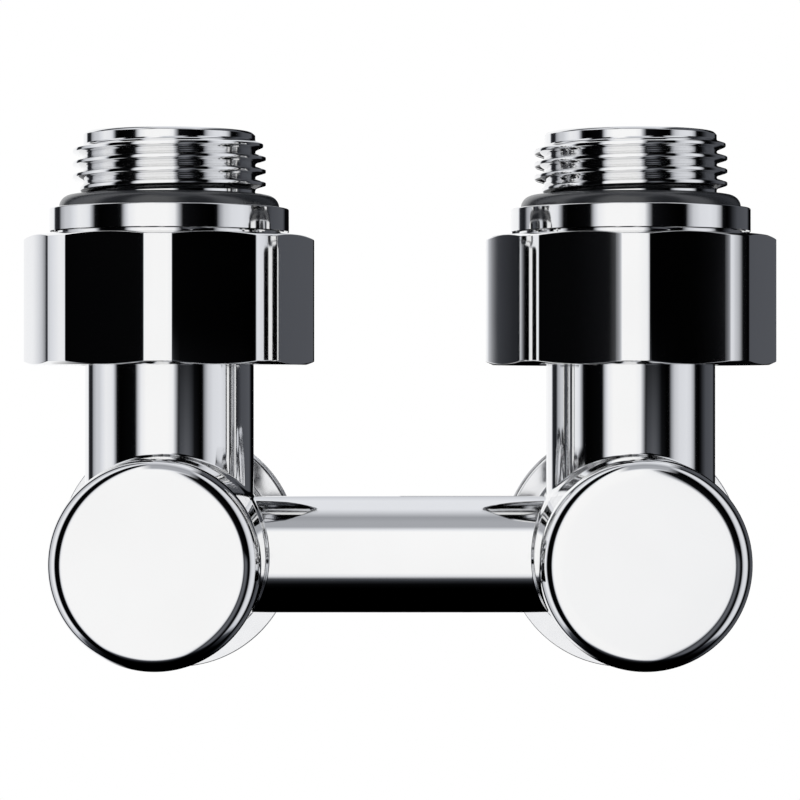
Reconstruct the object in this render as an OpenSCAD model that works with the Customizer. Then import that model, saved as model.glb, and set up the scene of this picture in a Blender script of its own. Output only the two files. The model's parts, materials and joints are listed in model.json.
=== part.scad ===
// Chrome angle connection block for a bottom-connected radiator: two shut-off valves in one
// casting, with a union nut and a radiator nipple over each. +Z is up to the radiator, +Y points
// to the wall, and the origin is the middle of the bridge, on the axis of the two valve bosses.

/* [Casting] */
// Distance between the two connections
centres = 50; // [50:0.5:60]
// Outer diameter of each upright tube
tube_d = 18.26; // [18.1:0.02:18.4]
// Outer diameter of each valve boss
boss_d = 21.8; // [20.8:0.1:22.4]
// Distance from the tube axis to the boss's front face
boss_front = 11.5; // [11:0.1:12]
// Distance from the tube axis to the boss's rear face
boss_rear = 11.3; // [11:0.1:12]
// Diameter of the bridge between the bosses
bridge_d = 12.6; // [10:0.1:14]
// Thickness of the valve seat web
seat_web = 2.3; // [2:0.1:3]

/* [Wall outlets] */
// Major diameter of the wall side thread
outlet_d = 26.44; // [26.2:0.02:26.6]
// Pitch of the wall side thread and of the union thread
pipe_pitch = 1.814; // [1.8:0.002:1.83]
// Distance from the tube axis to the end of the outlets
outlet_end = 22.5; // [22:0.1:25]
// Radius of the socket that takes the pipe adapter's stem
socket_r = 9.1; // [9.05:0.01:9.15]

/* [Union nuts] */
// Size across the flats of the eight-sided nut
nut_af = 30; // [29.6:0.1:30.4]
// Diameter that the nut's corners are turned to
nut_turned_d = 31.4; // [31:0.1:31.8]
// Height of the nut
nut_h = 13.9; // [13.6:0.1:14]
// Height of the nut's lower face over the boss axis, when tight
nut_z = 20.5; // [20.4:0.1:20.8]
// How far the left nut's corners stand off the front
left_nut_angle = 0; // [-22:0.1:22]
// How far the right nut's corners stand off the front
right_nut_angle = -1.9; // [-22:0.1:22]

/* [Nipples] */
// Diameter of the collar under the radiator seal
collar_d = 25.9; // [25.3:0.1:26.4]
// Major diameter of the radiator thread
radiator_thread_d = 20.9; // [20.6:0.02:20.96]
// Pitch of the radiator thread
radiator_pitch = 1.38; // [1.3:0.01:1.45]
// Height of the nipple's top over the boss axis
nipple_top = 45.65; // [45.5:0.05:46.5]
// Size across the flats of the key socket inside the nipple
nipple_key_af = 12; // [11:0.5:12.5]

/* [Caps] */
// Length of each front cap
cap_l = 11.2; // [11:0.1:12]
// Radius of the cap's rounded front edge
cap_round = 2; // [0.6:0.1:2.1]

/* [Shut-off spindles] */
// Pitch of the spindle's thread
spindle_pitch = 1; // [0.8:0.05:1.2]
// Travel of the valve disc from open to shut
stroke = 3.45; // [3:0.05:3.5]
// Size across the flats of the spindle's key socket
spindle_key_af = 4; // [3:0.5:4.5]

/* [Hidden] */

$fn = 96;
CHROME = [0.84, 0.85, 0.87];
BRASS = [0.80, 0.65, 0.34];
SPRING_STEEL = [0.62, 0.63, 0.65];
RUBBER = [0.12, 0.12, 0.13];
FIBRE = [0.55, 0.20, 0.16];

LEFT = -1;
RIGHT = 1;
over = 0.5;        // how far a cutter reaches past the face it cuts
meet = 0.001;      // how far two cutters that meet run into each other
gap = 0.05;        // space between faces that rest on each other
seal_gap = 0.02;   // space between a seal ring and its bore
sink = 0.2;        // how deep a thread's ridge is rooted in its core
foot = 0.02;       // height of a ridge where it dies away
root_share = 0.84; // width of a ridge's root as a share of its pitch
tip_w = 0.4;       // width of a thread's crest
thread_seg = 36;   // steps in one turn of a thread

tube_r = tube_d / 2;
boss_r = boss_d / 2;
outlet_r = outlet_d / 2;

// Radii and places inside the casting
chamber_r = 7.5;
seat_y = 6.6;
seat_r = 4.8;
flow_r = 6;
waterway_r = 6.5;
outlet_thread_h = 1.16;
outlet_root_r = outlet_r - outlet_thread_h;
shoulder_l = 2;
relief_l = 1;
outlet_run_in = 0.8;
outlet_run_out = 1;
mouth_r = 9.9;
mouth_slope = 15;
mouth_l = (mouth_r - socket_r) / tan(mouth_slope);
socket_l = 5;

// Top of the upright tube, inside the nut
tube_top = 34.2;
nose_r = 8.95;
nose_z = 30.6;
nose_step_h = 0.7;
nose_edge = 0.5;
tube_seal_r = 0.73;
tube_seal_z = 32.3;
tube_groove_h = 1.8;
tube_groove_r = socket_r - seal_gap - 2 * tube_seal_r - gap;
snap_wire_r = 0.7;
snap_z = 24.95;
snap_split = 30;

// Union thread between nut and nipple
union_r = 13.22;
union_root_r = 12.06;
union_space = 0.13;
union_turns = 2.8;
union_start = 28.7;
nut_flats = 8;
nut_face_in = 0.05;
nut_chamfer = 25;
nut_bore_r = union_r + union_space;
nut_lip_h = 2.65;
nut_lip_space = 0.2;
nut_lip_r = tube_r + nut_lip_space;
slip_h = 1;
slip_outer_r = 11.6;

// Nipple
nipple_bottom = 27.6;
collar_z = 34.8;
collar_top = 37.4;
seal_seat_z = 36.25;
seal_wire_r = 1.3;
seal_r = 10.55;
seal_lip_w = 0.15;
neck_r = 9.25;
neck_h = 2;
neck_step_h = 0.05;
thread_root_r = 9.3;
radiator_turns = 3.75;
radiator_start = 39.33;
radiator_start_angle = -200;
tube_end_space = 0.4;
nipple_socket_top = tube_top + tube_end_space;
nipple_key_depth = 6;

// Front cap, bonnet and spindle, by their distance from the tube axis
cap_rear = boss_front + gap;
cap_front = cap_rear + cap_l;
cap_bore_r = 8.5;
cap_wall = 2.2;
washer_h = 1;
bonnet_r = 8.35;
shank_r = chamber_r - gap;
shank_end = 3.6;
shank_run_in = 0.6;
shank_run_out = 1.2;
shank_pitch = 1;
shank_thread_h = 0.5;
flange_h = 3.6;
flange_end = boss_front + washer_h + flange_h;
hex_h = 2.9;
hex_end = flange_end + hex_h;
hex_af = 13;
cap_seal_r = 0.75;
cap_seal_inset = 1.7;
cap_seal_y = flange_end - cap_seal_inset;
cap_groove_h = 1.7;
gland_r = 3.6;
gland_step = 12;
screw_bore_r = 4.65;
spindle_r = gland_r - gap;
spindle_front = 18;
screw_end = 4.6;
screw_root_r = 3.95;
screw_tip_r = 4.5;
screw_root_w = 0.8;
screw_tip_w = 0.15;
screw_run_in = 0.6;
screw_seg = 24;
spindle_seal_r = 0.6;
spindle_groove_h = 1.4;
spindle_seal_inset = 1.6;
spindle_seal_step = 2;
spindle_key_depth = 3.5;
stem_r = 2.2;
stem_space = 0.3;
button_r = 3.2;
button_h = 1.2;
button_space = 0.2;
disc_r = 6.4;
disc_front = 1.9;
disc_wall = 0.5;
disc_seal_h = 0.95;
disc_seal_proud = 0.4;
disc_rear = seat_y - gap - stroke;

// ---- threads ----

// One section of a thread's ridge: root, crest, crest, root
function ridge_section(root_r, crest_r, root_w, crest_w, a, z) = [
    [root_r * cos(a), root_r * sin(a), z - root_w / 2],
    [crest_r * cos(a), crest_r * sin(a), z - crest_w / 2],
    [crest_r * cos(a), crest_r * sin(a), z + crest_w / 2],
    [root_r * cos(a), root_r * sin(a), z + root_w / 2]
];

// The same section run in the order that keeps its faces outward
function facing(section, outward) = outward ? section : [for (k = [3 : -1 : 0]) section[k]];

// Right-hand helical ridge round Z that starts at z = 0 and dies away at both ends
module ridge(root_r, crest_r, root_w, crest_w, pitch, turns, seg = thread_seg) {
    steps = round(turns * seg);
    fade = seg / 4;
    outward = crest_r > root_r;
    foot_r = root_r + (outward ? foot : -foot);
    sections = [for (i = [0 : steps])
        let (grown = min(1, i / fade, (steps - i) / fade))
        facing(
            ridge_section(root_r, foot_r + (crest_r - foot_r) * grown, root_w,
                root_w + (crest_w - root_w) * grown, 360 * i / seg, pitch * i / seg),
            outward)
    ];
    last = 4 * steps;
    polyhedron(
        points = [for (section = sections) each section],
        faces = concat(
            [for (i = [0 : steps - 1], k = [0 : 3])
                let (a = 4 * i + k, b = 4 * i + (k + 1) % 4)
                each [[a, b, b + 4], [a, b + 4, a + 4]]],
            [[0, 3, 2], [0, 2, 1]],
            [[last, last + 1, last + 2], [last, last + 2, last + 3]]
        )
    );
}

// Ridge on a core: root_r is the core's radius, crest_r may be inside or outside it
module thread(core_r, crest_r, pitch, turns, seg = thread_seg) {
    outward = crest_r > core_r;
    ridge(core_r + (outward ? -sink : sink), crest_r, pitch * root_share, tip_w, pitch, turns, seg);
}

// ---- helpers ----

// Puts a connection's parts at its own axis
module at_side(side) {
    translate([side * centres / 2, 0, 0]) children();
}

// Turns a shape drawn along +Z so that it points to the wall
module to_wall() {
    rotate([-90, 0, 0]) children();
}

// Turns a shape drawn along +Z so that it points to the front
module to_front() {
    rotate([90, 0, 0]) children();
}

// Cylinder between two heights
module rod(r, low, high) {
    translate([0, 0, low]) cylinder(r = r, h = high - low);
}

// Cone between two heights
module taper(r_low, r_high, low, high) {
    translate([0, 0, low]) cylinder(r1 = r_low, r2 = r_high, h = high - low);
}

// Round ring of round section
module o_ring(ring_r, wire_r, z) {
    translate([0, 0, z]) rotate_extrude() translate([ring_r, 0]) circle(r = wire_r, $fn = 48);
}

// Square-cornered groove about height z, to cut from a shaft
module groove(shaft_r, floor_r, z, h) {
    difference() {
        rod(shaft_r + over, z - h / 2, z + h / 2);
        rod(floor_r, z - h / 2 - over, z + h / 2 + over);
    }
}

// Shallow rings that stand for a thread that never turns
module thread_grooves(shaft_r, low, high, pitch, depth) {
    for (z = [low + pitch / 2 : pitch : high - pitch / 2])
        translate([0, 0, z]) rotate_extrude()
            polygon([
                [shaft_r - depth, 0],
                [shaft_r + over, -depth - over],
                [shaft_r + over, depth + over]
            ]);
}

// Hexagonal socket cutter
module hex_socket(af, low, high) {
    translate([0, 0, low]) cylinder(r = af / 2 / cos(30), h = high - low, $fn = 6);
}

// ---- casting ----

// Upright tube with its nose and grooves
module upright() {
    difference() {
        union() {
            rod(tube_r, 0, nose_z - nose_step_h);
            taper(tube_r, nose_r, nose_z - nose_step_h, nose_z);
            rod(nose_r, nose_z, tube_top - nose_edge);
            taper(nose_r, nose_r - nose_edge, tube_top - nose_edge, tube_top);
        }
        o_ring(tube_r - gap, snap_wire_r + gap, snap_z);
        groove(nose_r, tube_groove_r, tube_seal_z, tube_groove_h);
    }
}

// Threaded outlet to the wall, drawn along +Z
module outlet() {
    shoulder_top = boss_rear + shoulder_l;
    thread_low = shoulder_top + relief_l;
    thread_start = thread_low + outlet_run_in;
    edge = 0.3;
    polished_edge = 0.12;
    turns = (outlet_end - outlet_run_out - thread_start) / pipe_pitch;
    taper(outlet_r - polished_edge, outlet_r, boss_rear, boss_rear + polished_edge);
    rod(outlet_r, boss_rear + polished_edge, shoulder_top);
    rod(outlet_root_r, shoulder_top, outlet_end - edge);
    taper(outlet_root_r, outlet_root_r - edge, outlet_end - edge, outlet_end);
    translate([0, 0, thread_start]) thread(outlet_root_r, outlet_r, pipe_pitch, turns);
}

// Everything that is hollow along a boss's axis, drawn along +Z to the wall
module boss_passage() {
    rod(chamber_r, -boss_front - over, seat_y);
    rod(seat_r, seat_y - over, seat_y + seat_web + over);
    rod(flow_r, seat_y + seat_web, outlet_end);
    rod(socket_r, outlet_end - mouth_l - socket_l, outlet_end);
    taper(socket_r, mouth_r, outlet_end - mouth_l, outlet_end);
    taper(mouth_r, mouth_r + over, outlet_end - meet, outlet_end + over);
}

module valve_body() {
    color(CHROME) difference() {
        union() {
            for (side = [LEFT, RIGHT]) at_side(side) {
                upright();
                to_wall() rod(boss_r, -boss_front, boss_rear);
                to_wall() outlet();
            }
            rotate([0, 90, 0]) translate([0, 0, -centres / 2]) cylinder(d = bridge_d, h = centres);
        }
        for (side = [LEFT, RIGHT]) at_side(side) {
            rod(waterway_r, 0, tube_top + over);
            to_wall() boss_passage();
        }
    }
}

// ---- union nut and what holds it ----

// Outside of the nut: eight flats, with the corners turned round and both ends chamfered
module nut_blank(angle) {
    corner_r = nut_turned_d / 2;
    face_r = nut_af / 2 - nut_face_in;
    slope = (corner_r - face_r) * tan(nut_chamfer);
    top = nut_z + nut_h;
    intersection() {
        rotate([0, 0, angle]) translate([0, 0, nut_z])
            cylinder(r = nut_af / 2 / cos(180 / nut_flats), h = nut_h, $fn = nut_flats);
        rotate_extrude() polygon([
            [0, nut_z],
            [face_r, nut_z],
            [corner_r, nut_z + slope],
            [corner_r, top - slope],
            [face_r, top],
            [0, top]
        ]);
    }
}

module union_nut(angle) {
    top = nut_z + nut_h;
    lead = 0.6;
    color(CHROME) union() {
        difference() {
            nut_blank(angle);
            rod(nut_lip_r, nut_z - over, top);
            rod(nut_bore_r, nut_z + nut_lip_h, top + over);
            taper(nut_bore_r, nut_bore_r + lead, top - lead, top + meet);
        }
        translate([0, 0, union_start - pipe_pitch / 2])
            thread(nut_bore_r, union_root_r + union_space, pipe_pitch, union_turns);
    }
}

// Thrust ring that the nut turns on
module slip_ring() {
    low = nut_z + nut_lip_h + gap;
    color(BRASS) difference() {
        rod(slip_outer_r, low, low + slip_h);
        rod(nut_lip_r, low - over, low + slip_h + over);
    }
}

// Split wire ring in the tube's groove, which keeps the nut on the tube
module snap_ring() {
    color(SPRING_STEEL) translate([0, 0, snap_z]) rotate([0, 0, snap_split / 2])
        rotate_extrude(angle = 360 - snap_split) translate([tube_r, 0])
            circle(r = snap_wire_r, $fn = 32);
}

// Seal in the tube's nose
module tube_seal() {
    color(RUBBER) o_ring(socket_r - seal_gap - tube_seal_r, tube_seal_r, tube_seal_z);
}

// ---- nipple ----

// Outside of the nipple, as a half section turned round Z
module nipple_blank() {
    edge = 0.5;
    lip_r = seal_r + seal_wire_r + seal_lip_w;
    top_edge = 0.3;
    collar_edge = 0.15;
    rotate_extrude() union() {
        polygon([
            [0, nipple_bottom],
            [union_root_r - edge, nipple_bottom],
            [union_root_r, nipple_bottom + edge],
            [union_root_r, collar_z],
            [collar_d / 2, collar_z],
            [collar_d / 2, collar_top - collar_edge],
            [collar_d / 2 - collar_edge, collar_top],
            [lip_r, collar_top],
            [lip_r, seal_seat_z],
            [neck_r, seal_seat_z],
            [neck_r, seal_seat_z + neck_h],
            [thread_root_r, seal_seat_z + neck_h + neck_step_h],
            [thread_root_r, nipple_top - top_edge],
            [thread_root_r - top_edge, nipple_top],
            [0, nipple_top]
        ]);
        translate([collar_d / 2 - collar_edge, collar_top - collar_edge])
            circle(r = collar_edge, $fn = 32);
    }
}

module nipple() {
    color(CHROME) difference() {
        union() {
            nipple_blank();
            translate([0, 0, radiator_start]) rotate([0, 0, radiator_start_angle])
                thread(thread_root_r, radiator_thread_d / 2, radiator_pitch, radiator_turns);
            translate([0, 0, union_start]) thread(union_root_r, union_r, pipe_pitch, union_turns);
        }
        rod(flow_r, nipple_bottom - over, nipple_top + over);
        rod(socket_r, nipple_bottom - over, nipple_socket_top);
        taper(mouth_r, socket_r, nipple_bottom, nipple_bottom + mouth_l);
        taper(mouth_r + over, mouth_r, nipple_bottom - over, nipple_bottom + meet);
        hex_socket(nipple_key_af, nipple_top - nipple_key_depth, nipple_top + over);
    }
}

// Seal between the nipple and the radiator
module radiator_seal() {
    color(RUBBER) o_ring(seal_r + gap, seal_wire_r, seal_seat_z + seal_wire_r);
}

// ---- front cap and valve insert, drawn along +Z to the front ----

module cap() {
    round_r = cap_front - cap_round;
    color(CHROME) to_front() difference() {
        rotate_extrude() union() {
            square_from(0, cap_rear, boss_r, round_r);
            square_from(0, cap_rear, boss_r - cap_round, cap_front);
            translate([boss_r - cap_round, round_r]) circle(r = cap_round, $fn = 64);
        }
        rod(cap_bore_r, cap_rear - over, cap_front - cap_wall);
    }
}

// Rectangle between two corners
module square_from(x_low, y_low, x_high, y_high) {
    translate([x_low, y_low]) square([x_high - x_low, y_high - y_low]);
}

module cap_seal() {
    color(RUBBER) to_front() o_ring(cap_bore_r - seal_gap - cap_seal_r, cap_seal_r, cap_seal_y);
}

module bonnet() {
    seal_floor = cap_bore_r - seal_gap - 2 * cap_seal_r - gap;
    flange_low = boss_front + washer_h;
    color(BRASS) to_front() difference() {
        union() {
            rod(shank_r, shank_end, flange_low);
            rod(bonnet_r, flange_low, flange_end);
            hex_socket(hex_af, flange_end, hex_end);
        }
        thread_grooves(shank_r, shank_end + shank_run_in, boss_front - shank_run_out, shank_pitch,
            shank_thread_h);
        groove(bonnet_r, seal_floor, cap_seal_y, cap_groove_h);
        rod(gland_r, gland_step - over, hex_end + over);
        rod(screw_bore_r, shank_end - over, gland_step);
    }
}

module bonnet_washer() {
    color(FIBRE) to_front() difference() {
        rod(bonnet_r, boss_front, boss_front + washer_h);
        rod(shank_r + gap, boss_front - over, boss_front + washer_h + over);
    }
}

// Heights of the spindle's two seals
function spindle_seal_heights() =
    [for (k = [0, 1]) gland_step + spindle_seal_inset + spindle_seal_step * k];

// Threaded shut-off spindle with a key socket in front and a button that carries the disc
module spindle() {
    edge = 0.4;
    screw_low = screw_end + screw_run_in;
    screw_turns = (gland_step - screw_run_in - screw_low) / spindle_pitch;
    floor_r = gland_r - seal_gap - 2 * spindle_seal_r - gap;
    color(BRASS) to_front() difference() {
        union() {
            rod(button_r, -button_h / 2, button_h / 2);
            rod(stem_r, 0, screw_end + over);
            rod(screw_root_r, screw_end, gland_step - gap);
            translate([0, 0, screw_low])
                ridge(screw_root_r - sink, screw_tip_r, screw_root_w, screw_tip_w, spindle_pitch,
                    screw_turns, screw_seg);
            rod(spindle_r, gland_step - over, spindle_front - edge);
            taper(spindle_r, spindle_r - edge, spindle_front - edge, spindle_front);
        }
        for (y = spindle_seal_heights()) groove(spindle_r, floor_r, y, spindle_groove_h);
        hex_socket(spindle_key_af, spindle_front - spindle_key_depth, spindle_front + over);
    }
}

module spindle_seals() {
    color(RUBBER) to_front() for (y = spindle_seal_heights())
        o_ring(gland_r - seal_gap - spindle_seal_r, spindle_seal_r, y);
}

// Disc that the spindle's button pushes on to the seat and pulls off it
module valve_disc() {
    pocket_h = button_h / 2 + button_space;
    color(BRASS) to_front() difference() {
        rod(disc_r, disc_seal_proud - disc_rear, disc_front);
        rod(button_r + button_space, -pocket_h, pocket_h);
        rod(stem_r + stem_space, 0, disc_front + over);
        rod(disc_r - disc_wall, -disc_rear - over, disc_seal_h + gap - disc_rear);
    }
}

// Flat seal held in the back of the disc
module disc_seal() {
    color(RUBBER) to_front() rod(disc_r - disc_wall - gap, -disc_rear, disc_seal_h - disc_rear);
}

// ---- each side's own nodes ----

module left_union_nut() at_side(LEFT) union_nut(left_nut_angle);
module right_union_nut() at_side(RIGHT) union_nut(right_nut_angle);
module left_nipple() at_side(LEFT) nipple();
module right_nipple() at_side(RIGHT) nipple();
module left_radiator_seal() at_side(LEFT) radiator_seal();
module right_radiator_seal() at_side(RIGHT) radiator_seal();
module left_slip_ring() at_side(LEFT) slip_ring();
module right_slip_ring() at_side(RIGHT) slip_ring();
module left_snap_ring() at_side(LEFT) snap_ring();
module right_snap_ring() at_side(RIGHT) snap_ring();
module left_tube_seal() at_side(LEFT) tube_seal();
module right_tube_seal() at_side(RIGHT) tube_seal();
module left_cap() at_side(LEFT) cap();
module right_cap() at_side(RIGHT) cap();
module left_cap_seal() at_side(LEFT) cap_seal();
module right_cap_seal() at_side(RIGHT) cap_seal();
module left_bonnet() at_side(LEFT) bonnet();
module right_bonnet() at_side(RIGHT) bonnet();
module left_bonnet_washer() at_side(LEFT) bonnet_washer();
module right_bonnet_washer() at_side(RIGHT) bonnet_washer();
module left_spindle() at_side(LEFT) spindle();
module right_spindle() at_side(RIGHT) spindle();
module left_spindle_seals() at_side(LEFT) spindle_seals();
module right_spindle_seals() at_side(RIGHT) spindle_seals();
module left_valve_disc() at_side(LEFT) valve_disc();
module right_valve_disc() at_side(RIGHT) valve_disc();
module left_disc_seal() at_side(LEFT) disc_seal();
module right_disc_seal() at_side(RIGHT) disc_seal();

valve_body();
left_union_nut();
right_union_nut();
left_nipple();
right_nipple();
left_radiator_seal();
right_radiator_seal();
left_slip_ring();
right_slip_ring();
left_snap_ring();
right_snap_ring();
left_tube_seal();
right_tube_seal();
left_cap();
right_cap();
left_cap_seal();
right_cap_seal();
left_bonnet();
right_bonnet();
left_bonnet_washer();
right_bonnet_washer();
left_spindle();
right_spindle();
left_spindle_seals();
right_spindle_seals();
left_valve_disc();
right_valve_disc();
left_disc_seal();
right_disc_seal();
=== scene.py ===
"""Looks of the chrome radiator connection block: studio, camera, materials and detailed meshes.

Lengths are millimetres in the shapes, and meshes are scaled to metres as they are made. Light,
camera and materials are in metres.
"""

import json
import math

import bmesh
import bpy
import numpy as np
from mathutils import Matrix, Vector


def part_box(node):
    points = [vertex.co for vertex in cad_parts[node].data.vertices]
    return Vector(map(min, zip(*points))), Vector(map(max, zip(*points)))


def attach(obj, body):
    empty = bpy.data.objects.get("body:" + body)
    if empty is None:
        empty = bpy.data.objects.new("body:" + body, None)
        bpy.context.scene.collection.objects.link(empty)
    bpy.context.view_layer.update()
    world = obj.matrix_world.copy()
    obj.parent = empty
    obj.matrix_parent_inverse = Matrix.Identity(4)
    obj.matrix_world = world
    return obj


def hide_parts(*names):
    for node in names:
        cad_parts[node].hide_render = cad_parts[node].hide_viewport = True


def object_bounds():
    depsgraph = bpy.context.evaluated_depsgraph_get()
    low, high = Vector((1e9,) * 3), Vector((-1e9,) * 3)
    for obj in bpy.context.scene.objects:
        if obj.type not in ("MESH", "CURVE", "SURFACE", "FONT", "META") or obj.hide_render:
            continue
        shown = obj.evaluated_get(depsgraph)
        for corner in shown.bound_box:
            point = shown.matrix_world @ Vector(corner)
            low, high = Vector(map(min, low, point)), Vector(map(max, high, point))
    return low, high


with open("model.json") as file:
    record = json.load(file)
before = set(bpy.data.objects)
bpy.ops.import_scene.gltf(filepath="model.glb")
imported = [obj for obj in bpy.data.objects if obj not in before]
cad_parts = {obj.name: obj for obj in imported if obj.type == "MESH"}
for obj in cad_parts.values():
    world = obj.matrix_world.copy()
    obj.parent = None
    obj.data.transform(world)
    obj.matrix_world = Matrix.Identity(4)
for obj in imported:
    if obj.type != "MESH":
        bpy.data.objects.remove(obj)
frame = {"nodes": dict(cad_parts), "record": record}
cad_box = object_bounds()

MM = 0.001
X, Y, Z = range(3)
SIDES = ("left", "right")
TURNED_STEPS = 192  # columns of a turned piece
BORE_STEPS = 128


def span(node, axis):
    """Lowest and highest place of a CAD node along an axis, in millimetres."""
    low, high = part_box(node)
    return float(np.array(low)[axis] / MM), float(np.array(high)[axis] / MM)


# ---- driving dimensions, from the frame where it has them ----

NUT_LOW, NUT_HIGH = span("left_union_nut", Z)
NIPPLE_LOW, NIPPLE_HIGH = span("left_nipple", Z)
CAP_FRONT, CAP_REAR = (-y for y in span("left_cap", Y))
SEAL_SEAT_Z = span("left_radiator_seal", Z)[0]
OUTLET_END = span("valve_body", Y)[1]
AXIS_X = {side: sum(span(f"{side}_cap", X)) / 2 for side in SIDES}

# Casting
TUBE_R = 9.13
BOSS_R = 10.9
BRIDGE_R = 6.3
BOSS_FRONT = 11.5
BOSS_REAR = 11.3
TUBE_FILLET = 0.3
BRIDGE_FILLET = 0.25
SHOULDER_FILLET = 0.3
SKIN_REAR = BOSS_REAR - SHOULDER_FILLET  # where the skin ends and the turned outlets begin
SKIN_TOP = 27.5  # where the skin ends and the turned tube ends begin, inside the nuts

# Passages
FLOW_R = 6.0
WATERWAY_R = 6.5
CHAMBER_R = 7.5
SEAT_Y = 6.6
SEAT_WEB = 2.3
SEAT_R = 4.8
SOCKET_R = 9.1
SOCKET_L = 5
MOUTH_R = 9.9
MOUTH_L = (MOUTH_R - SOCKET_R) / math.tan(math.radians(15))

# Wall outlets
PIPE_PITCH = 1.814
PIPE_THREAD_H = 1.16
OUTLET_R = 13.22
OUTLET_ROOT_R = OUTLET_R - PIPE_THREAD_H
SHOULDER_END = BOSS_REAR + 2
OUTLET_THREAD_START = SHOULDER_END + 1.8

# Upper end of the tubes
TUBE_TOP = 34.2
NOSE_R = 8.95
NOSE_Z = 30.6
NOSE_STEP_H = 0.7
NOSE_EDGE = 0.5
NOSE_GROOVE_R = 7.55
NOSE_GROOVE_LOW, NOSE_GROOVE_HIGH = 31.4, 33.2

# Union nuts
NUT_AF = 30.0
NUT_TURNED_R = 15.7
NUT_FACE_R = 14.95
NUT_SLOPE = math.tan(math.radians(25))
NUT_BORE_R = 13.35
NUT_LIP_R = 9.33
NUT_LIP_H = 2.65
NUT_FLATS = 8
NUT_FLAT_W = 2 * math.sqrt(NUT_TURNED_R ** 2 - (NUT_AF / 2) ** 2)
NUT_CROWN = 0.0485
NUT_ROLL = 0.018
NUT_TURN = {"left": 0.0, "right": math.radians(-1.9)}
UNION_R = 13.2
UNION_ROOT_R = 12.06
UNION_SPACE = 0.13
UNION_START = 28.7
UNION_TURNS = 2.8

# Nipples
COLLAR_R = 12.95
COLLAR_LOW, COLLAR_HIGH = 34.8, 37.4
SEAL_LIP_R = 12.0
NECK_R = 9.25
NECK_H = 2
RADIATOR_PITCH = 1.38
RADIATOR_R = 10.45
RADIATOR_ROOT_R = 9.3
RADIATOR_START, RADIATOR_END, RADIATOR_PHASE = 39.33, 44.50, 40.10
NIPPLE_EDGE = 0.5
NIPPLE_TOP_EDGE = 0.3
TUBE_END_SPACE = 0.4
KEY_AF = 12.0
KEY_DEPTH = 6

# Caps
CAP_ROUND = 2.0
CAP_WALL = 2.2
CAP_BORE_R = 8.5


# ---- mesh helpers ----


def new_object(name, verts, faces):
    """Object from vertices in millimetres."""
    mesh = bpy.data.meshes.new(name)
    mesh.from_pydata([tuple(v * MM for v in co) for co in verts], [], faces)
    obj = bpy.data.objects.new(name, mesh)
    bpy.context.scene.collection.objects.link(obj)
    return obj


def clean(obj, merge=1e-4):
    """Welds double points, drops faces with no area and turns normals outward."""
    bm = bmesh.new()
    bm.from_mesh(obj.data)
    bmesh.ops.remove_doubles(bm, verts=bm.verts, dist=merge * MM)
    bmesh.ops.dissolve_degenerate(bm, edges=bm.edges, dist=merge * MM)
    bmesh.ops.recalc_face_normals(bm, faces=bm.faces)
    bm.to_mesh(obj.data)
    bm.free()


def smooth(obj, angle=32):
    """Smooth shading that keeps edges sharper than the angle, with large faces kept true."""
    obj.data.shade_smooth()
    obj.data.set_sharp_from_angle(angle=math.radians(angle))
    weighted = obj.modifiers.new("true_flats", "WEIGHTED_NORMAL")
    weighted.mode = "FACE_AREA"
    weighted.keep_sharp = True


def arc(centre, radius, start, end, steps=8):
    """Points (r, z) on an arc, angles in degrees."""
    angles = np.radians(np.linspace(start, end, steps + 1))
    return [(centre[0] + radius * math.cos(a), centre[1] + radius * math.sin(a)) for a in angles]


def helix_outline(low, high, core_r, crest_r, pitch, start, end, phase=None):
    """A thread's reach and its outline, as rows of height in one pitch and share of the full depth."""
    root_round, tip_w, root_share = 0.12, 0.36, 0.84
    half_base, half_tip = pitch * root_share / 2, tip_w / 2
    run = half_base - half_tip
    # The lower flank with its rounded root and crest, and its mirror image above
    rows = [
        (-half_base - root_round, 0.0),
        (-half_base + 0.25 * root_round, 0.06),
        (-half_base + 0.12 * run + root_round * 0.5, 0.2),
        (-half_tip - 0.1 * run, 0.9),
        (-half_tip + 0.03, 0.985),
        (-half_tip + 0.1, 1.0),
    ]
    rows += [(-z, depth) for z, depth in reversed(rows)]
    return dict(low=low, high=high, core_r=core_r, crest_r=crest_r, pitch=pitch,
                start=start, end=end, phase=start if phase is None else phase, rows=rows)


def helix_column(thread, angle):
    """(r, z) points of a threaded stretch at one angle, from low to high, always the same number."""
    pitch = thread["pitch"]
    run_in = 0.25  # turns over which the ridge grows from nothing
    turns = math.ceil((thread["high"] - thread["low"]) / pitch) + 2
    points = []
    for turn in range(-2, turns + 1):
        middle = thread["phase"] + pitch * (turn + angle / (2 * math.pi))
        travelled = (middle - thread["start"]) / pitch
        left = (thread["end"] - middle) / pitch
        grown = max(0.0, min(1.0, travelled / run_in, left / run_in))
        for offset, depth in thread["rows"]:
            z = middle + offset
            r = thread["core_r"] + (thread["crest_r"] - thread["core_r"]) * depth * grown
            if z <= thread["low"]:
                z, r = thread["low"], thread["core_r"]
            if z >= thread["high"]:
                z, r = thread["high"], thread["core_r"]
            points.append((r, z))
    return points


def turned(name, centre, along, outline, angles=None):
    """Solid turned round an axis, which is z, front or wall.

    outline holds (r, z) points, threads, and functions that give points at an angle.
    """
    if angles is None:
        angles = np.linspace(0, 2 * math.pi, TURNED_STEPS + 1)
    columns = []
    for angle in angles:
        column = []
        for item in outline:
            if isinstance(item, dict):
                column += helix_column(item, angle)
            elif callable(item):
                column += item(angle)
            else:
                column.append(item)
        cos_a, sin_a = math.cos(angle), math.sin(angle)
        columns.append([(r * cos_a, r * sin_a, z) for r, z in column])
    count = len(columns[0])
    verts = [placed(p, centre, along) for column in columns for p in column]
    faces = []
    for i in range(len(columns) - 1):
        for k in range(count):
            k2 = (k + 1) % count
            faces.append((i * count + k, (i + 1) * count + k, (i + 1) * count + k2, i * count + k2))
    obj = new_object(name, verts, faces)
    clean(obj)
    return obj


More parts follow.
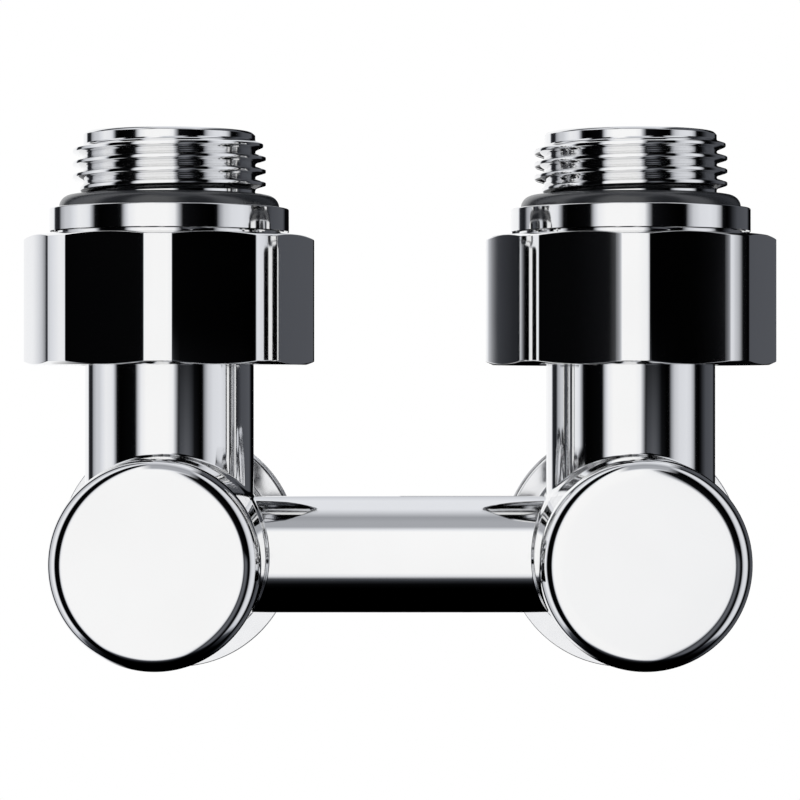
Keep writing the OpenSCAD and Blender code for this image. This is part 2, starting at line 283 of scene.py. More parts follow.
def placed(point, centre, along):
    """Point drawn round +Z, turned to the axis and moved to its centre."""
    x, y, z = point
    if along == "wall":
        x, y, z = x, z, -y
    if along == "front":
        x, y, z = x, -z, y
    return (x + centre[0], y + centre[1], z + centre[2])


# ---- materials ----


def node_material(name, base, metallic, roughness):
    """Principled material with its uniform values set on the shader's own sockets."""
    mat = bpy.data.materials.new(name)
    mat.use_nodes = True
    shader = mat.node_tree.nodes["Principled BSDF"]
    shader.inputs["Base Color"].default_value = (*base, 1)
    shader.inputs["Metallic"].default_value = metallic
    shader.inputs["Roughness"].default_value = roughness
    return mat, mat.node_tree, shader


def noise(tree, scale, detail=3, rough=0.5, stretch=None):
    """Noise on object coordinates, so it stays with the surface."""
    coords = tree.nodes.new("ShaderNodeTexCoord")
    tex = tree.nodes.new("ShaderNodeTexNoise")
    tex.inputs["Scale"].default_value = scale
    tex.inputs["Detail"].default_value = detail
    tex.inputs["Roughness"].default_value = rough
    if stretch:
        mapping = tree.nodes.new("ShaderNodeMapping")
        mapping.inputs["Scale"].default_value = stretch
        tree.links.new(coords.outputs["Object"], mapping.inputs["Vector"])
        tree.links.new(mapping.outputs["Vector"], tex.inputs["Vector"])
    else:
        tree.links.new(coords.outputs["Object"], tex.inputs["Vector"])
    return tex.outputs["Fac"]


def remap(tree, value, low, high, from_low=0.0, from_high=1.0):
    """Map Range from one span to another."""
    node = tree.nodes.new("ShaderNodeMapRange")
    node.inputs["From Min"].default_value = from_low
    node.inputs["From Max"].default_value = from_high
    node.inputs["To Min"].default_value = low
    node.inputs["To Max"].default_value = high
    tree.links.new(value, node.inputs["Value"])
    return node.outputs["Result"]


def ramp(tree, value, stops):
    """Colour ramp with (place, colour) stops."""
    node = tree.nodes.new("ShaderNodeValToRGB")
    elements = node.color_ramp.elements
    while len(elements) > 1:
        elements.remove(elements[-1])
    for i, (place, colour) in enumerate(stops):
        element = elements[0] if i == 0 else elements.new(place)
        element.position = place
        element.color = (*colour, 1)
    tree.links.new(value, node.inputs["Fac"])
    return node.outputs["Color"]


def bump(tree, shader, height, distance, strength=1.0):
    """Bump whose distance is in metres."""
    node = tree.nodes.new("ShaderNodeBump")
    node.inputs["Strength"].default_value = strength
    node.inputs["Distance"].default_value = distance
    tree.links.new(height, node.inputs["Height"])
    tree.links.new(node.outputs["Normal"], shader.inputs["Normal"])


def chrome():
    """Polished chrome plate: near mirror, with slight haze and the waviness of hand polishing."""
    mat, tree, shader = node_material("polished_chrome", (0.87, 0.87, 0.87), 1.0, 0.04)
    haze = remap(tree, noise(tree, 60, 1), 0.036, 0.06, 0.3, 0.7)
    tree.links.new(haze, shader.inputs["Roughness"])
    tint = ramp(tree, noise(tree, 90, 2), [(0.3, (0.858, 0.858, 0.858)), (0.7, (0.882, 0.882, 0.882))])
    tree.links.new(tint, shader.inputs["Base Color"])
    bump(tree, shader, noise(tree, 210, 1), 0.0015 * MM)
    return mat


def satin_chrome():
    """Chrome plate over a surface left as it was turned: satin, with fine rings."""
    mat, tree, shader = node_material("satin_chrome", (0.84, 0.845, 0.855), 1.0, 0.13)
    rings = noise(tree, 700, 3, 0.6, (1.0, 0.2, 1.0))
    tree.links.new(remap(tree, rings, 0.09, 0.17, 0.3, 0.7), shader.inputs["Roughness"])
    tint = ramp(tree, rings, [(0.3, (0.80, 0.805, 0.82)), (0.7, (0.87, 0.872, 0.88))])
    tree.links.new(tint, shader.inputs["Base Color"])
    bump(tree, shader, rings, 0.004 * MM)
    return mat


def brass():
    """Machined brass with fine turning marks and a little tarnish."""
    mat, tree, shader = node_material("machined_brass", (0.80, 0.62, 0.30), 1.0, 0.22)
    tint = ramp(tree, noise(tree, 500, 4), [(0.3, (0.62, 0.44, 0.19)), (0.7, (0.86, 0.68, 0.36))])
    tree.links.new(tint, shader.inputs["Base Color"])
    marks = noise(tree, 900, 2, 0.5, (0.1, 6.0, 0.1))
    tree.links.new(remap(tree, marks, 0.16, 0.34), shader.inputs["Roughness"])
    bump(tree, shader, marks, 0.006 * MM)
    return mat


def spring_steel():
    """Drawn steel wire."""
    mat, tree, shader = node_material("drawn_spring_steel", (0.55, 0.56, 0.58), 1.0, 0.3)
    grain = noise(tree, 1500, 3)
    tree.links.new(remap(tree, grain, 0.2, 0.42), shader.inputs["Roughness"])
    bump(tree, shader, grain, 0.004 * MM)
    return mat


def seal_rubber():
    """Satin black moulded rubber with faint bloom and grain."""
    mat, tree, shader = node_material("seal_rubber", (0.03, 0.032, 0.036), 0.0, 0.28)
    shader.inputs["Specular IOR Level"].default_value = 0.9
    bloom = ramp(tree, noise(tree, 400, 4, 0.6),
                 [(0.35, (0.024, 0.026, 0.030)), (0.7, (0.032, 0.034, 0.039))])
    tree.links.new(bloom, shader.inputs["Base Color"])
    grain = noise(tree, 2600, 3, 0.6)
    tree.links.new(remap(tree, grain, 0.2, 0.28), shader.inputs["Roughness"])
    bump(tree, shader, grain, 0.003 * MM, 0.6)
    return mat


def fibre():
    """Pressed red fibre of the flat washers."""
    mat, tree, shader = node_material("pressed_fibre", (0.45, 0.12, 0.08), 0.0, 0.75)
    strands = noise(tree, 1800, 5, 0.7, (1.0, 3.0, 1.0))
    tint = ramp(tree, strands, [(0.3, (0.30, 0.07, 0.05)), (0.7, (0.52, 0.17, 0.11))])
    tree.links.new(tint, shader.inputs["Base Color"])
    bump(tree, shader, strands, 0.04 * MM)
    return mat


MATERIALS = {
    "chrome": chrome(),
    "brass": brass(),
    "spring_steel": spring_steel(),
    "seal_rubber": seal_rubber(),
    "fibre": fibre(),
}
SATIN_CHROME = satin_chrome()


def finish_piece(obj, body, slot, *nodes):
    """Gives a piece its material, its body and the CAD nodes that it stands for."""
    obj.data.materials.clear()
    obj.data.materials.append(MATERIALS[slot])
    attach(obj, body)
    if nodes:
        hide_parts(*nodes)


# ---- valve body: filleted skin from a distance field, bored out ----


def round_union(a, b, r):
    """Union of two distances with a round fillet of radius r."""
    return np.maximum(r, np.minimum(a, b)) - np.hypot(np.maximum(r - a, 0), np.maximum(r - b, 0))


def skin_parts(p):
    """Distances from points to the nearest tube, the nearest boss and the bridge."""
    x, y, z = p.T
    beside = x - np.where(x < 0, AXIS_X["left"], AXIS_X["right"])
    tube = np.maximum(np.hypot(beside, y) - TUBE_R, -z)
    boss = np.hypot(beside, z) - BOSS_R
    bridge = np.maximum(np.hypot(y, z) - BRIDGE_R, np.abs(x) - AXIS_X["right"])
    return tube, boss, bridge


def skin_distance(p):
    """Distance from points to the casting's outside, with a round fillet where its parts meet."""
    tube, boss, bridge = skin_parts(p)
    return round_union(round_union(tube, boss, TUBE_FILLET), bridge, BRIDGE_FILLET)


def gradient(field, p, step=1e-3):
    """Unit gradient of a distance field."""
    grad = np.zeros_like(p)
    for k in range(3):
        shift = np.zeros(3)
        shift[k] = step
        grad[:, k] = field(p + shift) - field(p - shift)
    return grad / np.maximum(np.linalg.norm(grad, axis=1, keepdims=True), 1e-12)


def cylinder_mesh(name, radius, start, end, steps=96):
    """Closed cylinder between two points."""
    bm = bmesh.new()
    start, end = Vector(start) * MM, Vector(end) * MM
    turn = (end - start).to_track_quat("Z", "Y").to_matrix().to_4x4()
    turn.translation = (start + end) / 2
    bmesh.ops.create_cone(bm, cap_ends=True, segments=steps, radius1=radius * MM, radius2=radius * MM,
                          depth=(end - start).length, matrix=turn)
    mesh = bpy.data.meshes.new(name)
    bm.to_mesh(mesh)
    bm.free()
    obj = bpy.data.objects.new(name, mesh)
    bpy.context.scene.collection.objects.link(obj)
    return obj


def apply_modifiers(obj):
    """Replaces the mesh by what its modifiers make of it."""
    deps = bpy.context.evaluated_depsgraph_get()
    mesh = bpy.data.meshes.new_from_object(obj.evaluated_get(deps))
    obj.modifiers.clear()
    old = obj.data
    obj.data = mesh
    bpy.data.meshes.remove(old)


def join(objects, name):
    """One object from several."""
    bm = bmesh.new()
    for obj in objects:
        bm.from_mesh(obj.data)
        bpy.data.objects.remove(obj)
    mesh = bpy.data.meshes.new(name)
    bm.to_mesh(mesh)
    bm.free()
    obj = bpy.data.objects.new(name, mesh)
    bpy.context.scene.collection.objects.link(obj)
    return obj


def cut(obj, axis, at, keep_below):
    """Cuts the mesh flat and closes it with one face."""
    bm = bmesh.new()
    bm.from_mesh(obj.data)
    normal = Vector((0, 0, 0))
    normal[axis] = 1 if keep_below else -1
    point = Vector((0, 0, 0))
    point[axis] = at * MM
    result = bmesh.ops.bisect_plane(bm, geom=bm.verts[:] + bm.edges[:] + bm.faces[:], dist=1e-8,
                                    plane_co=point, plane_no=normal, clear_outer=True)
    edges = [e for e in result["geom_cut"] if isinstance(e, bmesh.types.BMEdge)]
    bmesh.ops.edgenet_fill(bm, edges=edges)
    bm.to_mesh(obj.data)
    bm.free()


def boolean(obj, cutter):
    """Cuts one mesh out of another and removes the cutter."""
    mod = obj.modifiers.new("cut", "BOOLEAN")
    mod.operation = "DIFFERENCE"
    mod.solver = "MANIFOLD"
    mod.object = cutter
    apply_modifiers(obj)
    bpy.data.objects.remove(cutter)


def on_skin(obj, rounds=8, pull=0.9):
    """Moves the vertices on to the casting's skin, a share of the way in each round."""
    co = np.zeros(len(obj.data.vertices) * 3)
    obj.data.vertices.foreach_get("co", co)
    p = co.reshape(-1, 3) / MM
    for _ in range(rounds):
        p = p - skin_distance(p)[:, None] * gradient(skin_distance, p) * pull
    obj.data.vertices.foreach_set("co", (p * MM).ravel())
    obj.data.update()
    return p


def casting():
    """Outer skin of the casting without its threaded outlets, with a finer mesh along the fillets."""
    blank_top, reach = 29.0, 1.2
    voxel, fine_cuts = ((0.28, 3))
    parts = [cylinder_mesh("bridge_blank", BRIDGE_R, (AXIS_X["left"], 0, 0), (AXIS_X["right"], 0, 0))]
    for side in SIDES:
        x = AXIS_X[side]
        front, rear = (x, -BOSS_FRONT - reach, 0), (x, BOSS_REAR + reach, 0)
        parts.append(cylinder_mesh("tube_blank", TUBE_R, (x, 0, 0), (x, 0, blank_top + reach)))
        parts.append(cylinder_mesh("boss_blank", BOSS_R, front, rear))
    obj = join(parts, "valve_body_casting")
    remesh = obj.modifiers.new("skin", "REMESH")
    remesh.mode = "VOXEL"
    remesh.voxel_size = voxel * MM
    apply_modifiers(obj)
    p = on_skin(obj)
    near = np.sort(np.abs(np.array(skin_parts(p))), axis=0)[1] < TUBE_FILLET + voxel
    bm = bmesh.new()
    bm.from_mesh(obj.data)
    bm.verts.ensure_lookup_table()
    edges = [e for e in bm.edges if near[e.verts[0].index] and near[e.verts[1].index]]
    bmesh.ops.subdivide_edges(bm, edges=edges, cuts=fine_cuts, use_grid_fill=True)
    bmesh.ops.triangulate(bm, faces=[f for f in bm.faces if len(f.verts) > 4])
    bm.to_mesh(obj.data)
    bm.free()
    on_skin(obj)
    return obj


def bore_fields():
    """Distance fields of every surface that bounds the casting: skin, bores and flat ends."""
    fields = [skin_distance]
    for side in SIDES:
        x = AXIS_X[side]
        for radius in (CHAMBER_R, SEAT_R, FLOW_R):
            fields.append(lambda p, x=x, r=radius: np.hypot(p[:, X] - x, p[:, Z]) - r)
        fields.append(lambda p, x=x: np.hypot(p[:, X] - x, p[:, Y]) - WATERWAY_R)
    for y in (-BOSS_FRONT, SKIN_REAR, SEAT_Y, SEAT_Y + SEAT_WEB):
        fields.append(lambda p, y=y: p[:, Y] - y)
    fields.append(lambda p: p[:, Z] - SKIN_TOP)
    return fields


def true_normals(obj, fields):
    """Gives every face the exact normals of the field whose surface it lies on."""
    mesh = obj.data
    mesh.shade_smooth()
    faces, corners, points = len(mesh.polygons), len(mesh.loops), len(mesh.vertices)
    centre, normal = np.zeros(faces * 3), np.zeros(faces * 3)
    sizes = np.zeros(faces, int)
    vertex = np.zeros(corners, int)
    co = np.zeros(points * 3)
    mesh.polygons.foreach_get("center", centre)
    mesh.polygons.foreach_get("normal", normal)
    mesh.polygons.foreach_get("loop_total", sizes)
    mesh.loops.foreach_get("vertex_index", vertex)
    mesh.vertices.foreach_get("co", co)
    centre, normal, co = centre.reshape(-1, 3) / MM, normal.reshape(-1, 3), co.reshape(-1, 3) / MM
    nearest = np.argmin([np.abs(field(centre)) for field in fields], axis=0)
    face_of = np.repeat(np.arange(faces), sizes)
    result = normal[face_of].copy()
    for k, field in enumerate(fields):
        mine = nearest[face_of] == k
        if mine.any():
            exact = gradient(field, co[vertex[mine]])
            facing = np.sum(exact * normal[face_of[mine]], axis=1, keepdims=True)
            result[mine] = np.where(facing < 0, -exact, exact)
    mesh.normals_split_custom_set(result.tolist())


def build_casting():
    """The casting with its bores cut and its normals made exact."""
    over = 1  # how far a cutter reaches past the face it cuts
    obj = casting()
    cut(obj, Y, -BOSS_FRONT, False)
    cut(obj, Y, SKIN_REAR, True)
    cut(obj, Z, SKIN_TOP, True)
    for side in SIDES:
        x = AXIS_X[side]
        bores = [
            (WATERWAY_R, (x, 0, 0), (x, 0, SKIN_TOP + over)),
            (CHAMBER_R, (x, -BOSS_FRONT - over, 0), (x, SEAT_Y, 0)),
            (SEAT_R, (x, SEAT_Y - over, 0), (x, SEAT_Y + SEAT_WEB + over, 0)),
            (FLOW_R, (x, SEAT_Y + SEAT_WEB, 0), (x, SKIN_REAR + over, 0)),
        ]
        for radius, start, end in bores:
            boolean(obj, cylinder_mesh("bore", radius, start, end, BORE_STEPS))
    true_normals(obj, bore_fields())
    finish_piece(obj, "root", "chrome", "valve_body")


def build_outlet(side):
    """Shoulder, relief and thread of one wall outlet, with the cone socket inside."""
    edge, polished, soft, relief, run_out = 0.3, 0.12, 0.1, 0.3, 1
    socket_end = OUTLET_END - MOUTH_L - SOCKET_L
    outline = [(FLOW_R, SKIN_REAR), (BOSS_R, SKIN_REAR)]
    outline += [(BOSS_R + SHOULDER_FILLET - SHOULDER_FILLET * math.cos(a),
                 SKIN_REAR + SHOULDER_FILLET * math.sin(a))
                for a in np.radians(np.linspace(0, 90, 11))[1:]]
    outline += arc((OUTLET_R - polished, BOSS_REAR + polished), polished, -90, 0, 5)
    outline += [
        (OUTLET_R, SHOULDER_END - soft), (OUTLET_R - soft, SHOULDER_END),
        (OUTLET_ROOT_R + soft, SHOULDER_END), (OUTLET_ROOT_R, SHOULDER_END + soft),
        helix_outline(SHOULDER_END + relief, OUTLET_END - edge - 0.05, OUTLET_ROOT_R, OUTLET_R,
                      PIPE_PITCH, OUTLET_THREAD_START, OUTLET_END - run_out),
        (OUTLET_ROOT_R, OUTLET_END - edge), (OUTLET_ROOT_R - edge, OUTLET_END),
        (MOUTH_R + 0.08, OUTLET_END), (MOUTH_R - 0.02, OUTLET_END - 0.08),
        (SOCKET_R, OUTLET_END - MOUTH_L), (SOCKET_R, socket_end),
        (FLOW_R + soft, socket_end), (FLOW_R, socket_end - soft),
    ]
    obj = turned(f"{side}_outlet_thread", (AXIS_X[side], 0, 0), "wall", outline)
    smooth(obj)
    finish_piece(obj, "root", "chrome", "valve_body")
    obj.data.materials[0] = SATIN_CHROME


def build_nose(side):
    """Upper end of the tube, which seals inside the nipple."""
    soft = 0.15
    outline = [
        (WATERWAY_R, SKIN_TOP), (TUBE_R, SKIN_TOP), (TUBE_R, NOSE_Z - NOSE_STEP_H), (NOSE_R, NOSE_Z),
        (NOSE_R, NOSE_GROOVE_LOW), (NOSE_GROOVE_R, NOSE_GROOVE_LOW),
        (NOSE_GROOVE_R, NOSE_GROOVE_HIGH), (NOSE_R, NOSE_GROOVE_HIGH),
        (NOSE_R, TUBE_TOP - NOSE_EDGE), (NOSE_R - NOSE_EDGE, TUBE_TOP),
        (WATERWAY_R + soft, TUBE_TOP), (WATERWAY_R, TUBE_TOP - soft),
    ]
    obj = turned(f"{side}_tube_nose", (AXIS_X[side], 0, 0), "z", outline)
    smooth(obj)
    finish_piece(obj, "root", "chrome", "valve_body")


# ---- union nuts ----


def nut_radius(angle, blend=0.02):
    """Outer radius of the nut: eight flats, crowned and rolled by polishing, under turned corners."""
    step = 2 * math.pi / NUT_FLATS
    off = (angle % step) - step / 2
    across = min(1.0, abs(math.tan(off)) * NUT_AF / NUT_FLAT_W)
    crown = NUT_CROWN * (1 - across ** 2) + NUT_ROLL * (1 - across ** 8)
    flat = (NUT_AF / 2 + crown) / math.cos(off)
    mixed = flat + NUT_TURNED_R
    return (mixed - math.sqrt((flat - NUT_TURNED_R) ** 2 + blend ** 2)) / 2


def nut_angles(offset):
    """Angles round the nut, closer together where flat and corner meet."""
    half_flat = math.acos(NUT_AF / 2 / NUT_TURNED_R)
    step = 2 * math.pi / NUT_FLATS
    near = np.radians([-2.4, -1.8, -1.2, -0.7, -0.4, -0.2, 0, 0.2, 0.4, 0.7, 1.2, 1.8])
    angles = []
    for k in range(NUT_FLATS):
        middle = (k + 0.5) * step
        angles += list(middle - half_flat - near) + list(middle + half_flat + near)
        angles += list(middle + np.linspace(-0.84, 0.84, 19) * half_flat)
        angles += list((k + np.array([-0.04, 0, 0.04])) * step)
    angles = sorted(set(round(a % (2 * math.pi), 7) for a in angles))
    angles = [a + offset for a in angles]
    return angles + [angles[0] + 2 * math.pi]


def build_nut(side):
    """Union nut: flats, turned corners, end chamfers, lip and internal thread."""
    low, high = NUT_LOW, NUT_HIGH
    offset = NUT_TURN[side]
    soft, lead, lip_edge = 0.07, 0.6, 0.3

    def outside(angle):
        r = nut_radius(angle - offset)
        rise = (r - NUT_FACE_R) * NUT_SLOPE
        tip = min(soft, rise * 0.4)
        return [
            (NUT_FACE_R - soft, low), (NUT_FACE_R, low + soft * 0.15),
            (r - tip * 1.6, low + rise - tip * 0.75), (r - tip * 0.35, low + rise + tip * 0.1),
            (r, low + rise + tip * 1.3),
            (r, high - rise - tip * 1.3), (r - tip * 0.35, high - rise - tip * 0.1),
            (r - tip * 1.6, high - rise + tip * 0.75),
            (NUT_FACE_R, high - soft * 0.15), (NUT_FACE_R - soft, high),
        ]

    thread = helix_outline(low + NUT_LIP_H + 0.2, high - lead - 0.1, NUT_BORE_R,
                           UNION_ROOT_R + UNION_SPACE, PIPE_PITCH, UNION_START - PIPE_PITCH / 2,
                           UNION_START + PIPE_PITCH * (UNION_TURNS - 0.5))

    def inside_thread(angle):
        return helix_column(thread, angle)[::-1]

    outline = [
        outside, (NUT_BORE_R + lead, high), (NUT_BORE_R, high - lead), inside_thread,
        (NUT_BORE_R, low + NUT_LIP_H), (NUT_LIP_R, low + NUT_LIP_H),
        (NUT_LIP_R, low + lip_edge), (NUT_LIP_R + lip_edge, low),
    ]
    obj = turned(f"{side}_nut_turned", (AXIS_X[side], 0, 0), "z", outline, nut_angles(offset))
    smooth(obj, 28)
    finish_piece(obj, f"{side}_nut", "chrome", f"{side}_union_nut")


# ---- nipples, seals and caps ----


def key_radius(angle):
    """Radius of the hexagonal key socket."""
    step = math.pi / 3
    return KEY_AF / 2 / math.cos((angle % step) - step / 2)


def build_nipple(side):
    """Nipple: union thread, collar with its seal seat, radiator thread and key socket."""
    low, high = NIPPLE_LOW, NIPPLE_HIGH
    edge, top_edge, soft = NIPPLE_EDGE, NIPPLE_TOP_EDGE, 0.05
    collar_edge, collar_foot, key_edge = 0.15, 0.12, 0.1
    neck_top, socket_top, key_floor = SEAL_SEAT_Z + NECK_H, TUBE_TOP + TUBE_END_SPACE, high - KEY_DEPTH
    union_thread = helix_outline(low + edge + 0.02, COLLAR_LOW - 0.3, UNION_ROOT_R, UNION_R,
                                 PIPE_PITCH, UNION_START, UNION_START + PIPE_PITCH * UNION_TURNS)
    radiator_thread = helix_outline(neck_top + 0.1, high - 0.35, RADIATOR_ROOT_R, RADIATOR_R,
                                    RADIATOR_PITCH, RADIATOR_START, RADIATOR_END, RADIATOR_PHASE)
    outline = [
        (MOUTH_R, low), (UNION_ROOT_R - edge, low), (UNION_ROOT_R, low + edge),
        union_thread, (UNION_ROOT_R, COLLAR_LOW),
        (COLLAR_R - collar_foot, COLLAR_LOW), (COLLAR_R, COLLAR_LOW + collar_foot),
    ]
    outline += arc((COLLAR_R - collar_edge, COLLAR_HIGH - collar_edge), collar_edge, 0, 90, 5)
    outline += [
        (SEAL_LIP_R + soft, COLLAR_HIGH), (SEAL_LIP_R, COLLAR_HIGH - soft),
        (SEAL_LIP_R, SEAL_SEAT_Z), (NECK_R, SEAL_SEAT_Z),
        (NECK_R, neck_top), (RADIATOR_ROOT_R, neck_top + soft),
        radiator_thread, (RADIATOR_ROOT_R, high - top_edge),
        (RADIATOR_ROOT_R - 0.04, high - top_edge + 0.06),
        (RADIATOR_ROOT_R - top_edge + 0.06, high - 0.04), (RADIATOR_ROOT_R - top_edge, high),
        lambda a: [(key_radius(a) + key_edge, high), (key_radius(a), high - key_edge),
                   (key_radius(a), key_floor)],
        (FLOW_R, key_floor), (FLOW_R, socket_top), (SOCKET_R, socket_top), (SOCKET_R, low + MOUTH_L),
    ]
    obj = turned(f"{side}_nipple_threaded", (AXIS_X[side], 0, 0), "z", outline)
    smooth(obj)
    finish_piece(obj, "root", "chrome", f"{side}_nipple")


def build_seal(side):
    """O-ring on the collar, with its size from the CAD."""
    steps = 48
    low, high = span(f"{side}_radiator_seal", Z)
    left, right = span(f"{side}_radiator_seal", X)
    wire = (high - low) / 2
    ring = (right - left) / 2 - wire
    outline = arc((ring, low + wire), wire, 0, 360 - 360 / steps, steps - 1)
    obj = turned(f"{side}_o_ring", (AXIS_X[side], 0, 0), "z", outline)
    smooth(obj)
    finish_piece(obj, "root", "seal_rubber", f"{side}_radiator_seal")


def build_cap(side):
    """Round push-on cap with a rounded front edge."""
    front, rear, round_end = CAP_FRONT, CAP_REAR, CAP_FRONT - CAP_ROUND
    rear_edge, mouth_edge, floor_edge, rest = 0.06, 0.15, 0.3, 0.4
    floor = front - CAP_WALL
    outline = [
        (CAP_BORE_R + mouth_edge, rear), (BOSS_R - rear_edge, rear), (BOSS_R, rear + rear_edge),
        (BOSS_R, round_end - rest),
    ]
    outline += arc((BOSS_R - CAP_ROUND, round_end), CAP_ROUND, 0, 90, 18)
    outline += [
        (BOSS_R - CAP_ROUND - rest, front), (0, front), (0, floor), (CAP_BORE_R - floor_edge, floor),
        (CAP_BORE_R, floor - floor_edge), (CAP_BORE_R, rear + mouth_edge),
    ]
    obj = turned(f"{side}_cap_shell", (AXIS_X[side], 0, 0), "front", outline)
    smooth(obj)
    finish_piece(obj, f"{side}_cap", "chrome", f"{side}_cap")


build_casting()
for side in SIDES:
    build_outlet(side)
    build_nose(side)
    build_nut(side)
    build_nipple(side)
    build_seal(side)
    build_cap(side)

# ---- CAD nodes that stay ----

slots = {part["node"]: part["material_slot"] for part in frame["record"]["subparts"]}
for name, obj in frame["nodes"].items():
    if not obj.hide_render:
        obj.data.materials.clear()
        obj.data.materials.append(MATERIALS[slots[name]])
        smooth(obj, 30)

# ---- studio ----

# What the chrome mirrors, as (degrees, grey level). Round the block the angle is 0 at the front,
# -90 on the left and 90 on the right.
LEFT_CARDS = [
    (-180, 244), (-146, 240), (-142, 236), (-140.5, 205), (-137.8, 60), (-135, 44), (-128, 33),
    (-125.5, 60), (-122, 160), (-114, 195), (-106, 203), (-100, 220), (-92, 235), (-82, 231),
    (-78, 219), (-74.4, 149), (-71.5, 22), (-66, 7), (-46, 14), (-42.5, 24), (-38.4, 197),
    (-34.5, 234), (-27, 247), (0, 247),
]
RIGHT_NEAR = [(0, 247), (2, 247), (9, 238), (12.5, 170)]
DARK_CARD = [(16.5, 20), (36, 10)]
LIT_CARD = [(15.5, 30), (18.5, 80), (26, 98), (30, 95), (34, 76), (38, 30)]
RIGHT_FAR = [
    (47, 3), (50, 20), (53.5, 150), (58, 197), (66, 217), (78, 222), (85, 212), (90.5, 165),
    (94.5, 21), (101, 5), (106.5, 24), (112, 52), (120, 76), (144, 84), (149, 62), (152, 14),
    (180, 14),
]
# From the front over the top to the back, in a strip that lies a little to the right
CEILING = [
    (46, 244), (52, 222), (58, 163), (70, 163), (75, 158), (81, 153), (87, 178), (93, 201),
    (99, 217), (104, 225), (133, 225), (139, 220), (150, 208), (156, 199), (180, 199),
]
CEILING_ROLL = 6  # how far to the right the strip's middle leans
CEILING_EDGE = (12, 19)  # where it fades out, from its middle
CEILING_FRONT = (46, 52)  # where it fades in, over the horizon
# By height over the horizon: black underneath
GROUND = [
    (-90, 0), (-70, 0), (-64, 9), (-58, 17), (-52.5, 41), (-46.7, 77), (-41, 232), (-35, 252),
    (90, 255),
]
LIT_EDGE = (-1.9, 0.95)  # where the lit card gives way to the dark one, over the horizon
UNDER_EDGE = (20, 32)  # half width of the dark strip under the back
MIRRORED_STRENGTH = 1.145


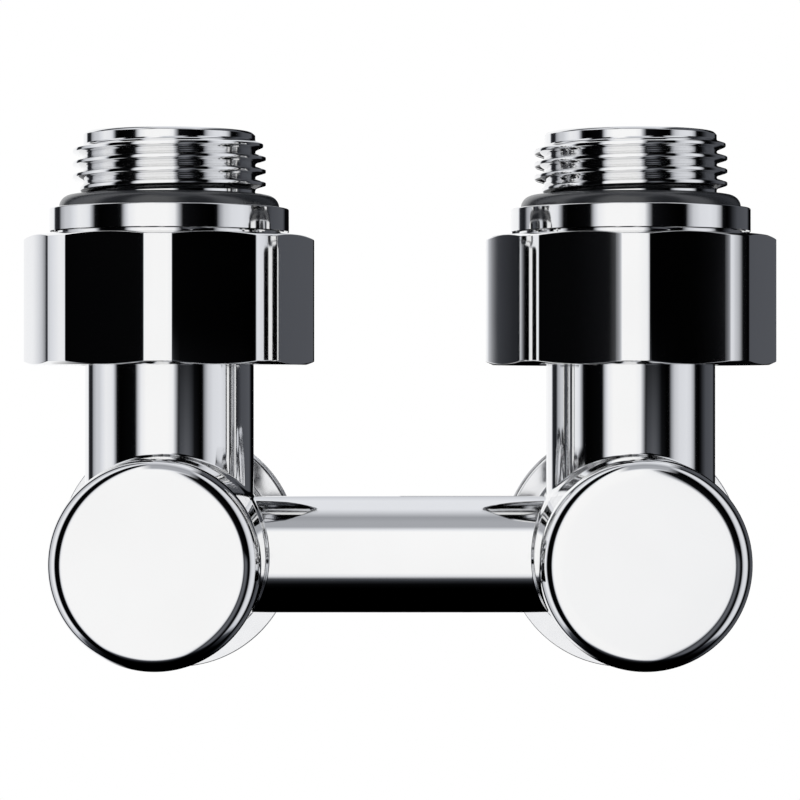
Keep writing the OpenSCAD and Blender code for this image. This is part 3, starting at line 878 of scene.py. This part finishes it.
def build_world():
    """White studio seen by the camera, with the dark and light cards that the chrome mirrors."""
    world = bpy.data.worlds.new("studio")
    bpy.context.scene.world = world
    world.use_nodes = True
    tree = world.node_tree
    nodes, links = tree.nodes, tree.links
    nodes.clear()

    def calc(operation, a, b=None):
        node = nodes.new("ShaderNodeMath")
        node.operation = operation
        for socket, value in zip(node.inputs, (a, b)):
            if isinstance(value, (int, float)):
                socket.default_value = value
            elif value is not None:
                links.new(value, socket)
        return node.outputs[0]

    def cool_grey(level):
        """Linear colour of a grey level, a little blue between black and white."""
        cool = max(0.0, min(1.0, level / 70, (248 - level) / 25))
        return tuple(((level + shift * cool) / 255) ** 2.2 for shift in (-2, 0, 5))

    def degrees(radians_socket):
        return calc("MULTIPLY", radians_socket, 180 / math.pi)

    def rising(value, edge):
        return remap(tree, value, 0.0, 1.0, *edge)

    def falling(value, edge):
        return remap(tree, value, 1.0, 0.0, *edge)

    def cards(value, pairs):
        low, high = pairs[0][0], pairs[-1][0]
        fac = rising(value, (low, high))
        stops = [((place - low) / (high - low), cool_grey(level)) for place, level in pairs]
        return ramp(tree, fac, stops)

    def mix(kind, factor, a, b):
        node = nodes.new("ShaderNodeMix")
        node.data_type = "RGBA"
        node.blend_type = kind
        if isinstance(factor, (int, float)):
            node.inputs["Factor"].default_value = factor
        else:
            links.new(factor, node.inputs["Factor"])
        links.new(a, node.inputs["A"])
        links.new(b, node.inputs["B"])
        return node.outputs["Result"]

    coords = nodes.new("ShaderNodeTexCoord")
    split = nodes.new("ShaderNodeSeparateXYZ")
    links.new(coords.outputs["Generated"], split.inputs[0])
    x, y, z = split.outputs
    forward, down = calc("MULTIPLY", y, -1.0), calc("MULTIPLY", z, -1.0)
    azimuth = degrees(calc("ARCTAN2", x, forward))
    pitch = degrees(calc("ARCTAN2", z, forward))
    elevation = degrees(calc("ARCSINE", z))

    left = cards(azimuth, LEFT_CARDS)
    dark = cards(azimuth, RIGHT_NEAR + DARK_CARD + RIGHT_FAR)
    lit = cards(azimuth, RIGHT_NEAR + LIT_CARD + RIGHT_FAR)
    right = mix("MIX", falling(elevation, LIT_EDGE), dark, lit)
    around = mix("MIX", calc("GREATER_THAN", azimuth, 0.0), left, right)
    around = mix("MULTIPLY", 1.0, around, cards(elevation, GROUND))

    to_back = rising(y, (0.0, 0.15))
    below = falling(z, (-0.12, -0.05))
    under_roll = calc("ABSOLUTE", degrees(calc("ARCTAN2", x, down)))
    under = calc("MULTIPLY", falling(under_roll, UNDER_EDGE), below)
    around = mix("MULTIPLY", 1.0, around, calc("SUBTRACT", 1.0, calc("MULTIPLY", under, to_back)))

    roll = degrees(calc("ARCTAN2", x, z))
    overhead = falling(calc("ABSOLUTE", calc("SUBTRACT", roll, CEILING_ROLL)), CEILING_EDGE)
    behind = calc("MULTIPLY", rising(z, (0.1, 0.2)), to_back)
    ceiling = calc("MULTIPLY", overhead, calc("MAXIMUM", rising(elevation, CEILING_FRONT), behind))
    mirrored = nodes.new("ShaderNodeBackground")
    links.new(mix("MIX", ceiling, around, cards(pitch, CEILING)), mirrored.inputs["Color"])
    mirrored.inputs["Strength"].default_value = MIRRORED_STRENGTH
    white = nodes.new("ShaderNodeBackground")
    white.inputs["Color"].default_value = (1, 1, 1, 1)
    white.inputs["Strength"].default_value = 1.0
    path = nodes.new("ShaderNodeLightPath")
    chosen = nodes.new("ShaderNodeMixShader")
    links.new(path.outputs["Is Camera Ray"], chosen.inputs["Fac"])
    links.new(mirrored.outputs[0], chosen.inputs[1])
    links.new(white.outputs[0], chosen.inputs[2])
    output = nodes.new("ShaderNodeOutputWorld")
    links.new(chosen.outputs[0], output.inputs["Surface"])


def build_floor():
    """Plain white floor under the block, which the chrome doesn't mirror."""
    clearance, size = 6 * MM, 4
    bpy.ops.mesh.primitive_plane_add(size=size, location=(0, 0, cad_box[0][2] - clearance))
    floor = bpy.context.object
    floor.name = "floor"
    floor.visible_glossy = False
    mat = bpy.data.materials.new("pale_floor")
    mat.use_nodes = True
    tree = mat.node_tree
    tree.nodes.clear()
    glow = tree.nodes.new("ShaderNodeEmission")
    glow.inputs["Color"].default_value = (1, 1, 1, 1)
    output = tree.nodes.new("ShaderNodeOutputMaterial")
    tree.links.new(glow.outputs[0], output.inputs["Surface"])
    floor.data.materials.append(mat)


def build_camera():
    """Level camera in front of the block, a little lower than the union nuts."""
    distance, height, lens, lowered = 340 * MM, 18.1 * MM, 141.1, 0.016
    camera = bpy.data.cameras.new("camera")
    camera.lens = lens
    camera.sensor_width = 36
    camera.shift_y = -lowered
    camera.clip_start = 0.01
    obj = bpy.data.objects.new("camera", camera)
    obj.location = (0, -distance, height)
    obj.rotation_euler = (math.pi / 2, 0, 0)
    bpy.context.scene.collection.objects.link(obj)
    bpy.context.scene.camera = obj


build_world()
build_floor()
build_camera()
bpy.context.scene.view_settings.view_transform = "Standard"
